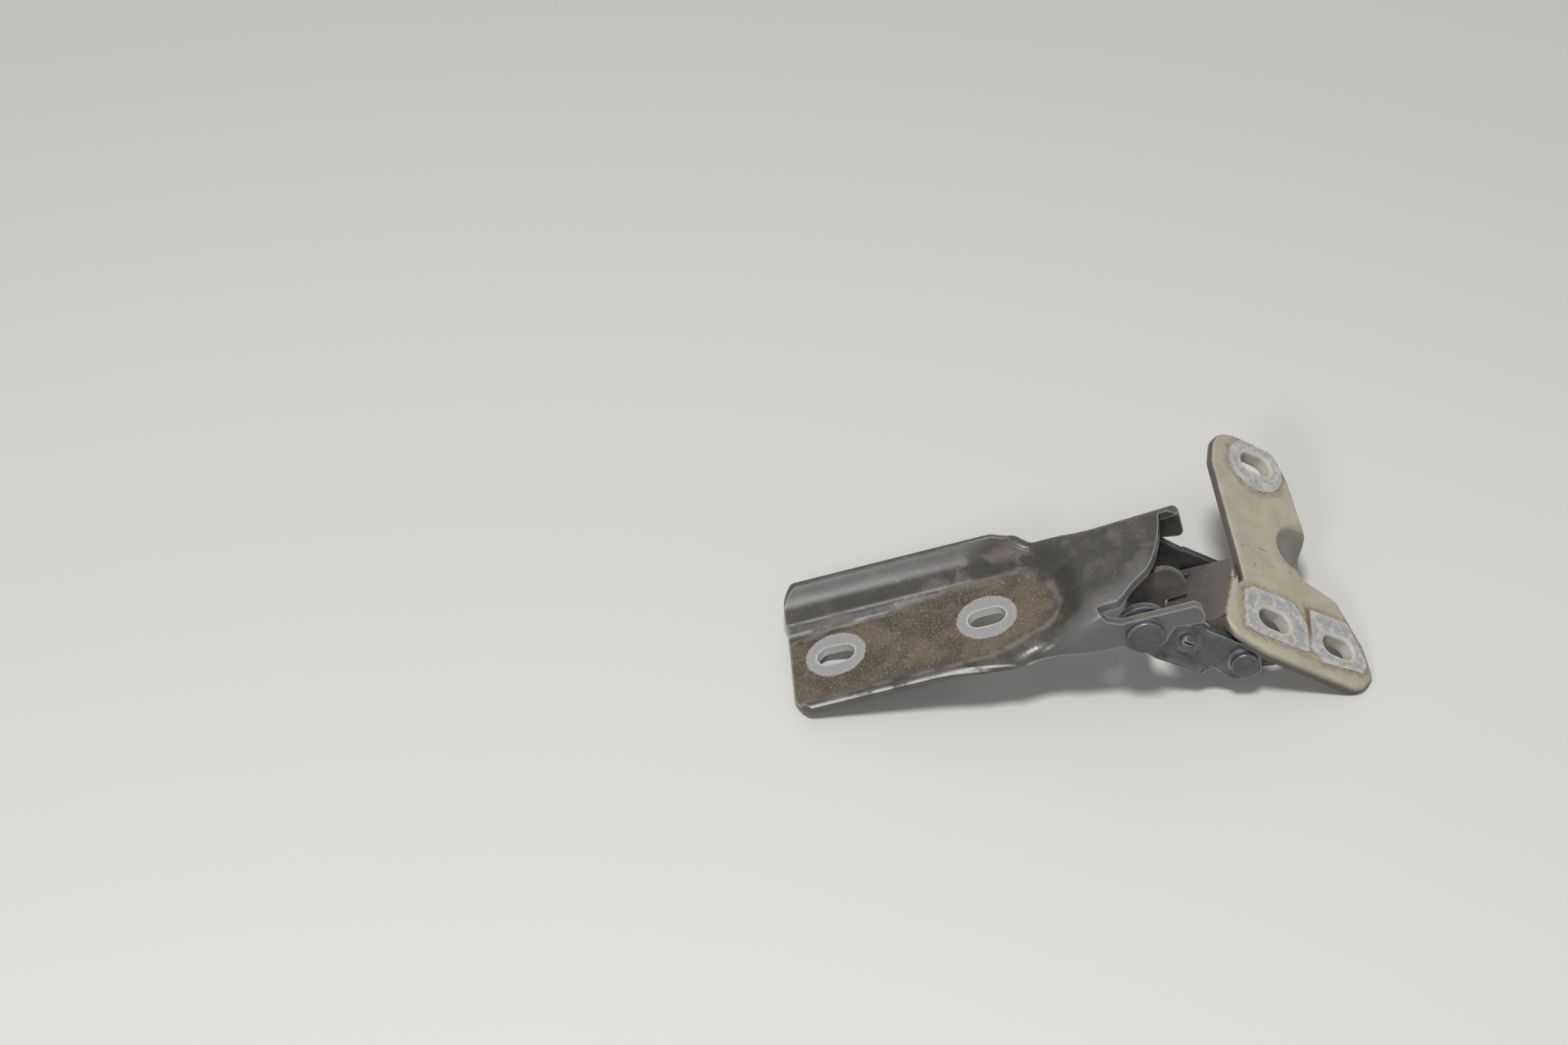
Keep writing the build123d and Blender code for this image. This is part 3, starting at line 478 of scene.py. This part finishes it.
# the far link lies in the shade of the hood, and its colours are darkened as painted shade
farLinkShadedLook = {"skin": "#3a3a3b", "skinLight": "#4a4948", "dirt": "#4a443e", "edge": "#83868a",
               "scratch": "#6a6d71", "metallic": 0.4, "rough": 0.34, "edgeReach": 0.6}
# rivets: cold headed steel, the same skin with a turned rim that is rubbed bright and carries a painted
# highlight
rivetLook = {"skin": "#505154", "skinLight": "#5e5f62", "dirt": "#37342f", "edge": "#c4c6c8",
             "scratch": "#73777b", "metallic": 0.5, "rough": 0.28, "edgeReach": 0.9}
# washers: zinc plate gone dull and grey
washerLook = {"skin": "#85878a", "skinLight": "#9b9d9f", "dirt": "#57524b", "edge": "#b9babb",
              "scratch": "#a9abad", "metallic": 0.6, "rough": 0.45, "edgeReach": 0.3}
# bushes: sintered bronze, brown grey with a dry grain
bushLook = {"skin": "#7d6c52", "skinLight": "#93815f", "dirt": "#4d4336", "edge": "#b39d74",
            "scratch": "#a18c66", "metallic": 0.7, "rough": 0.5, "edgeReach": 0.3}


def rubbedSteel(name, look):
    material, tree, shader = newMaterial(name, look["metallic"])
    point = millimetres(tree)
    # clouds of 6 mm, crystals drawn at 0.5 mm because the real ones are far finer than a pixel, and
    # drawing lines 10 mm long and 0.3 mm wide
    clouds = addNode(tree, "ShaderNodeTexNoise", {},
                     {"Vector": point, "Scale": 1 / 6.0, "Detail": 6.0, "Roughness": 0.65, "Distortion": 0.4})
    crystals = addNode(tree, "ShaderNodeTexNoise", {}, {"Vector": point, "Scale": 1 / 0.5, "Detail": 2.0})
    lines = addNode(tree, "ShaderNodeMapping", {},
                    {"Vector": point, "Rotation": (0, 0.75, 0), "Scale": (0.07, 1, 2.2)})
    lines = addNode(tree, "ShaderNodeTexNoise", {},
                    {"Vector": lines, "Scale": 1.5, "Detail": 3.0, "Roughness": 0.7})
    light = addNode(tree, "ShaderNodeMapRange", fade, {"Value": clouds, "From Min": 0.36, "From Max": 0.64})
    color = addNode(tree, "ShaderNodeMix", rgb, {"Factor": light, "A": look["skin"], "B": look["skinLight"]})
    drawn = addNode(tree, "ShaderNodeMapRange", fade,
                    {"Value": lines, "From Min": 0.62, "From Max": 0.74, "To Max": 0.45})
    color = addNode(tree, "ShaderNodeMix", rgb, {"Factor": drawn, "A": color, "B": look["scratch"]})
    spots = addNode(tree, "ShaderNodeMapRange", fade,
                    {"Value": crystals, "From Min": 0.40, "From Max": 0.6, "To Max": 0.55})
    spots = addNode(tree, "ShaderNodeMapRange", fade,
                    {"Value": clouds, "From Min": 0.60, "From Max": 0.72, "To Max": spots})
    color = addNode(tree, "ShaderNodeMix", rgb, {"Factor": spots, "A": color, "B": look["dirt"]})
    # edges lightened toward the edge colour: wear, and a painted highlight for the glints on rims and arrises
    edges = wornAndGlintingEdges(tree, look["edgeReach"])
    edgeWearAndGlint = addNode(tree, "ShaderNodeMapRange", fade,
                     {"Value": clouds, "From Min": 0.30, "From Max": 0.6, "To Max": 0.75})
    edgeWearAndGlint = addNode(tree, "ShaderNodeMath", product, {0: edges, 1: edgeWearAndGlint})
    color = addNode(tree, "ShaderNodeMix", rgb, {"Factor": edgeWearAndGlint, "A": color, "B": look["edge"]})
    rough = addNode(tree, "ShaderNodeMapRange", {},
                    {"Value": clouds, "From Min": 0.3, "From Max": 0.7, "To Min": look["rough"] - 0.06,
                     "To Max": look["rough"] + 0.14})
    rough = addNode(tree, "ShaderNodeMath", {"operation": "MULTIPLY_ADD"}, {0: edges, 1: -0.08, 2: rough})
    # the boss is lightened and made smoother: rubbed metal, and a painted highlight
    if "boss" in look:
        proud = addNode(tree, "ShaderNodeVectorMath", {"operation": "DISTANCE"}, {0: point, 1: look["boss"]})
        proud = addNode(tree, "ShaderNodeMapRange", fade,
                        {"Value": proud, "From Min": look["bossFade"][0], "From Max": look["bossFade"][1]})
        rubbed = addNode(tree, "ShaderNodeMath", product, {0: proud, 1: 0.6})
        color = addNode(tree, "ShaderNodeMix", rgb, {"Factor": rubbed, "A": color, "B": look["bossRubAndHighlight"]})
        rough = addNode(tree, "ShaderNodeMath", {"operation": "MULTIPLY_ADD"}, {0: proud, 1: -0.14, 2: rough})
    height = addNode(tree, "ShaderNodeMath", product, {0: crystals, 1: 0.3})
    height = addNode(tree, "ShaderNodeMath", {"operation": "MULTIPLY_ADD"}, {0: lines, 1: 0.5, 2: height})
    finishShader(tree, shader, color, rough, height, 0.03)
    return material


finishes = {
    "body_bracket": dipCoatedSheet(bracketLook),
    "lid_bracket": bakedCreamPaint(lidLook),
    "control_link": rubbedSteel("phosphatedSheet", linkLook),
    "far_link": rubbedSteel("shadedPhosphate", farLinkShadedLook),
    "pin": rubbedSteel("headedRivetSteel", rivetLook),
    "washer": rubbedSteel("dullZincPlate", washerLook),
    "bush": rubbedSteel("sinteredBronze", bushLook),
}
finishes["spacer"] = finishes["washer"]
for name, node in nodes.items():
    # pin_a, pin_b and so on share the finish of their kind
    material = finishes.get(name) or finishes[name.split("_")[0]]
    node.data.materials.clear()
    node.data.materials.append(material)
print("finishes given to", len(nodes), "nodes")


# inner flange of the control link, seen in the shade between the hood and the near arm, and the strip that
# joins it to the link: thin pressed sheet with a brown grey coat and a paler edge, worn and partly a painted
# highlight
innerLook = {
    "skin": "#625e59", "skinLight": "#736e67", "dirt": "#49423b", "edge": "#9b988f", "scratch": "#857d75",
    "metallic": 0.25, "rough": 0.42, "edgeReach": 0.5, "rounding": 0.35,
    "flange": [(81.2, -13.6), (88.6, -21.0), (97.2, -16.6), (97.2, -12.0), (106.0, -11.4), (107.2, -6.5),
               (106.2, -1.6), (104.2, 1.2), (101.8, 3.1), (99.2, 3.9), (96.6, 3.8), (93.0, 2.4), (88.0, 1.6),
               (84.6, -0.6), (83.4, -8.0)],
    "flangeDepth": (-2.0, 0.6),
    "strip": [(80.8, -12.8), (88.9, -22.4), (89.8, -21.5), (81.6, -11.8)], "stripDepth": (-18.2, -1.4),
}


def pressedPlate(name, outline, depth, rounding, material):
    # closed plate with the outline in X and Z, from the first depth to the second along Y, all in mm
    shape = bmesh.new()
    sides = [[shape.verts.new((x / 1000, y / 1000, z / 1000)) for x, z in outline] for y in depth]
    for side in sides:
        shape.faces.new(side)
    for k in range(len(outline)):
        shape.faces.new((sides[0][k - 1], sides[0][k], sides[1][k], sides[1][k - 1]))
    bmesh.ops.recalc_face_normals(shape, faces=shape.faces)
    bmesh.ops.bevel(shape, geom=list(shape.edges), offset=rounding / 1000, segments=2, affect="EDGES")
    mesh = bpy.data.meshes.new(name)
    shape.to_mesh(mesh)
    shape.free()
    mesh.materials.append(material)
    plate = bpy.data.objects.new(name, mesh)
    bpy.context.scene.collection.objects.link(plate)
    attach(plate, "control")


innerSheet = rubbedSteel("brownPressedSheet", innerLook)
pressedPlate("inner_flange", innerLook["flange"], innerLook["flangeDepth"], innerLook["rounding"], innerSheet)
pressedPlate("inner_strip", innerLook["strip"], innerLook["stripDepth"], innerLook["rounding"], innerSheet)
print("inner flange made")


# loose grit on the floor of the channel, scattered by Geometry Nodes. Sizes are in mm
gritLook = {"color": "#8c7d61", "pale": "#c2bba9", "middle": (3.0, -3.0), "spread": (98.0, 34.0),
            "above": 0.02, "perSquareCm": 34.0, "grain": 0.26, "clear": 12.2, "seed": 7}


def crushedGrit(look):
    # grit: broken mineral grains, matt, mostly brown with a few pale ones
    material, tree, shader = newMaterial("crushedGrit")
    point = millimetres(tree)
    tint = addNode(tree, "ShaderNodeTexNoise", {}, {"Vector": point, "Scale": 1 / 2.0, "Detail": 1.0})
    tint = addNode(tree, "ShaderNodeMapRange", fade, {"Value": tint, "From Min": 0.56, "From Max": 0.62})
    color = addNode(tree, "ShaderNodeMix", rgb, {"Factor": tint, "A": look["color"], "B": look["pale"]})
    face = addNode(tree, "ShaderNodeTexNoise", {}, {"Vector": point, "Scale": 1 / 0.15, "Detail": 2.0})
    rough = addNode(tree, "ShaderNodeMapRange", {}, {"Value": face, "To Min": 0.7, "To Max": 0.95})
    finishShader(tree, shader, color, rough, face, 0.03)
    return material


def gritTree(material, slots):
    tree = bpy.data.node_groups.new("looseGrit", "GeometryNodeTree")
    for name, kind, value in (
            ("Length", "Float", 0.1), ("Width", "Float", 0.03), ("Density", "Float", 1000.0),
            ("Grain", "Float", 0.0003), ("Clear", "Float", 0.012), ("Middle", "Vector", (0, 0, 0)),
            ("Seed", "Int", 1)):
        tree.interface.new_socket(name, in_out="INPUT", socket_type="NodeSocket" + kind).default_value = value
    tree.interface.new_socket("Geometry", in_out="OUTPUT", socket_type="NodeSocketGeometry")
    given = addNode(tree, "NodeGroupInput").outputs
    sheet = addNode(tree, "GeometryNodeMeshGrid", {},
                    {"Size X": given["Length"], "Size Y": given["Width"], "Vertices X": 2, "Vertices Y": 2})
    sheet = addNode(tree, "GeometryNodeTransform", {}, {"Geometry": sheet, "Translation": given["Middle"]})
    points = addNode(tree, "GeometryNodeDistributePointsOnFaces", {},
                     {"Mesh": sheet, "Density": given["Density"], "Seed": given["Seed"]})
    place = addNode(tree, "GeometryNodeInputPosition")
    for x, y in slots:
        # none on the washer prints or in the slots
        away = addNode(tree, "ShaderNodeVectorMath", {"operation": "DISTANCE"},
                       {0: place, 1: (x / 1000, y / 1000, 0)})
        near = addNode(tree, "FunctionNodeCompare", {"operation": "LESS_THAN"}, {0: away, 1: given["Clear"]})
        points = addNode(tree, "GeometryNodeDeleteGeometry", {}, {"Geometry": points, "Selection": near})
    stone = addNode(tree, "GeometryNodeMeshIcoSphere", {}, {"Radius": given["Grain"], "Subdivisions": 1})
    size = addNode(tree, "FunctionNodeRandomValue", {"data_type": "FLOAT_VECTOR"},
                   {"Min": (0.3, 0.3, 0.2), "Max": (1.0, 0.8, 0.6), "Seed": given["Seed"]})
    turn = addNode(tree, "FunctionNodeRandomValue", {"data_type": "FLOAT_VECTOR"},
                   {"Min": (0, 0, 0), "Max": (0.5, 0.5, 6.28), "Seed": given["Seed"]})
    stones = addNode(tree, "GeometryNodeInstanceOnPoints", {},
                     {"Points": points, "Instance": stone, "Rotation": turn, "Scale": size})
    stones = addNode(tree, "GeometryNodeRealizeInstances", {}, {"Geometry": stones})
    stones = addNode(tree, "GeometryNodeSetMaterial", {}, {"Geometry": stones, "Material": material})
    addNode(tree, "NodeGroupOutput", {}, {"Geometry": stones})
    return tree


def makeGrit(look, slots):
    tree = gritTree(crushedGrit(look), slots)
    holder = bpy.data.objects.new("gritSource", bpy.data.meshes.new("gritSource"))
    bpy.context.scene.collection.objects.link(holder)
    modifier = holder.modifiers.new("grit", "NODES")
    modifier.node_group = tree
    values = {"Length": look["spread"][0] / 1000, "Width": look["spread"][1] / 1000,
              "Density": look["perSquareCm"] * 10000, "Grain": look["grain"] / 1000,
              "Clear": look["clear"] / 1000, "Seed": look["seed"],
              "Middle": (look["middle"][0] / 1000, look["middle"][1] / 1000, look["above"] / 1000)}
    for socket in tree.interface.items_tree:
        if socket.name in values:
            modifier[socket.identifier] = values[socket.name]
    made = holder.evaluated_get(bpy.context.evaluated_depsgraph_get())
    stones = bpy.data.objects.new("grit", bpy.data.meshes.new_from_object(made))
    bpy.context.scene.collection.objects.link(stones)
    bpy.data.objects.remove(holder)
    return stones


grit = makeGrit(gritLook, bracketLook["slots"])
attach(grit, "body")
print("grit scattered:", len(grit.data.polygons), "faces")


# floor: a pale painted sheet, tilted to the plane of the three places where the hinge rests. The radius,
# the drop and the middle are in metres, the clouds of its gloss in mm
tableLook = {"color": "#d0cfcc", "cloudSize": 60.0, "rough": (0.38, 0.5), "radius": 1.2, "thinFrom": 0.75,
             "thinTo": 0.98, "up": (0.278, 0.0, 0.9606), "drop": -0.01665, "middle": (0.06, 0.03, 0.0)}


def paintedTable(look):
    material, tree, shader = newMaterial("paintedTable")
    shader.inputs["Base Color"].default_value = hexColor(look["color"])
    point = millimetres(tree)
    cloud = addNode(tree, "ShaderNodeTexNoise", {},
                    {"Vector": point, "Scale": 1 / look["cloudSize"], "Detail": 3.0})
    rough = addNode(tree, "ShaderNodeMapRange", {},
                    {"Value": cloud, "To Min": look["rough"][0], "To Max": look["rough"][1]})
    tree.links.new(rough.outputs[0], shader.inputs["Roughness"])
    # clear from below and thinning out at its rim, so that it never hides the part
    side = addNode(tree, "ShaderNodeNewGeometry").outputs["Backfacing"]
    away = addNode(tree, "ShaderNodeVectorMath", {"operation": "DISTANCE"},
                   {0: point, 1: [v * 1000 for v in look["middle"]]})
    reach = look["radius"] * 1000
    thin = addNode(tree, "ShaderNodeMapRange", fade,
                   {"Value": away, "From Min": reach * look["thinFrom"], "From Max": reach * look["thinTo"]})
    hide = addNode(tree, "ShaderNodeMath", {"operation": "MAXIMUM"}, {0: side, 1: thin})
    clear = addNode(tree, "ShaderNodeBsdfTransparent")
    mix = addNode(tree, "ShaderNodeMixShader", {}, {0: hide, 1: shader, 2: clear})
    output = next(n for n in tree.nodes if n.type == "OUTPUT_MATERIAL")
    tree.links.new(mix.outputs[0], output.inputs["Surface"])
    return material


up = Vector(tableLook["up"]).normalized()
middle = Vector(tableLook["middle"])
bpy.ops.mesh.primitive_circle_add(vertices=96, radius=tableLook["radius"], fill_type="NGON")
table = bpy.context.object
table.name = "table"
table.data.transform(up.to_track_quat("Z", "Y").to_matrix().to_4x4())
table.data.transform(Matrix.Translation(middle + up * (tableLook["drop"] - up.dot(middle))))
table.data.materials.append(paintedTable(tableLook))
print("floor laid")

# light: one wide lamp above and a little in front, a small one low in front for the sheen
lamps = {"overhead": {"place": (0.35, -0.55, 1.85), "size": 0.42, "power": 29.0},
         "front": {"place": (-0.22, -1.1, 0.85), "size": 0.28, "power": 4.2}}
aim = Vector((0.05, 0, 0))
for name, lamp in lamps.items():
    light = bpy.data.objects.new(name, bpy.data.lights.new(name, "AREA"))
    light.data.shape = "DISK"
    light.data.size = lamp["size"]
    light.data.energy = lamp["power"]
    light.location = lamp["place"]
    light.rotation_euler = (light.location - aim).to_track_quat("Z", "Y").to_euler()
    bpy.context.scene.collection.objects.link(light)

# surroundings: what the camera and the reflections see is brighter than the light they give
skyLook = {"color": "#d0d0cf", "fill": 0.42, "shown": 1.0}
world = bpy.data.worlds.new("studio")
bpy.context.scene.world = world
world.use_nodes = True
sky = world.node_tree
sky.nodes.clear()
ray = addNode(sky, "ShaderNodeLightPath").outputs
seen = addNode(sky, "ShaderNodeMath", {"operation": "MAXIMUM"},
               {0: ray["Is Camera Ray"], 1: ray["Is Glossy Ray"]})
seen = addNode(sky, "ShaderNodeMath", {"operation": "MAXIMUM"}, {0: seen, 1: ray["Is Transmission Ray"]})
fill = addNode(sky, "ShaderNodeBackground", {}, {"Color": skyLook["color"], "Strength": skyLook["fill"]})
shown = addNode(sky, "ShaderNodeBackground", {}, {"Color": skyLook["color"], "Strength": skyLook["shown"]})
both = addNode(sky, "ShaderNodeMixShader", {}, {0: seen, 1: fill, 2: shown})
addNode(sky, "ShaderNodeOutputWorld", {}, {"Surface": both})
bpy.context.scene.view_settings.view_transform = "Standard"
print("lights set")
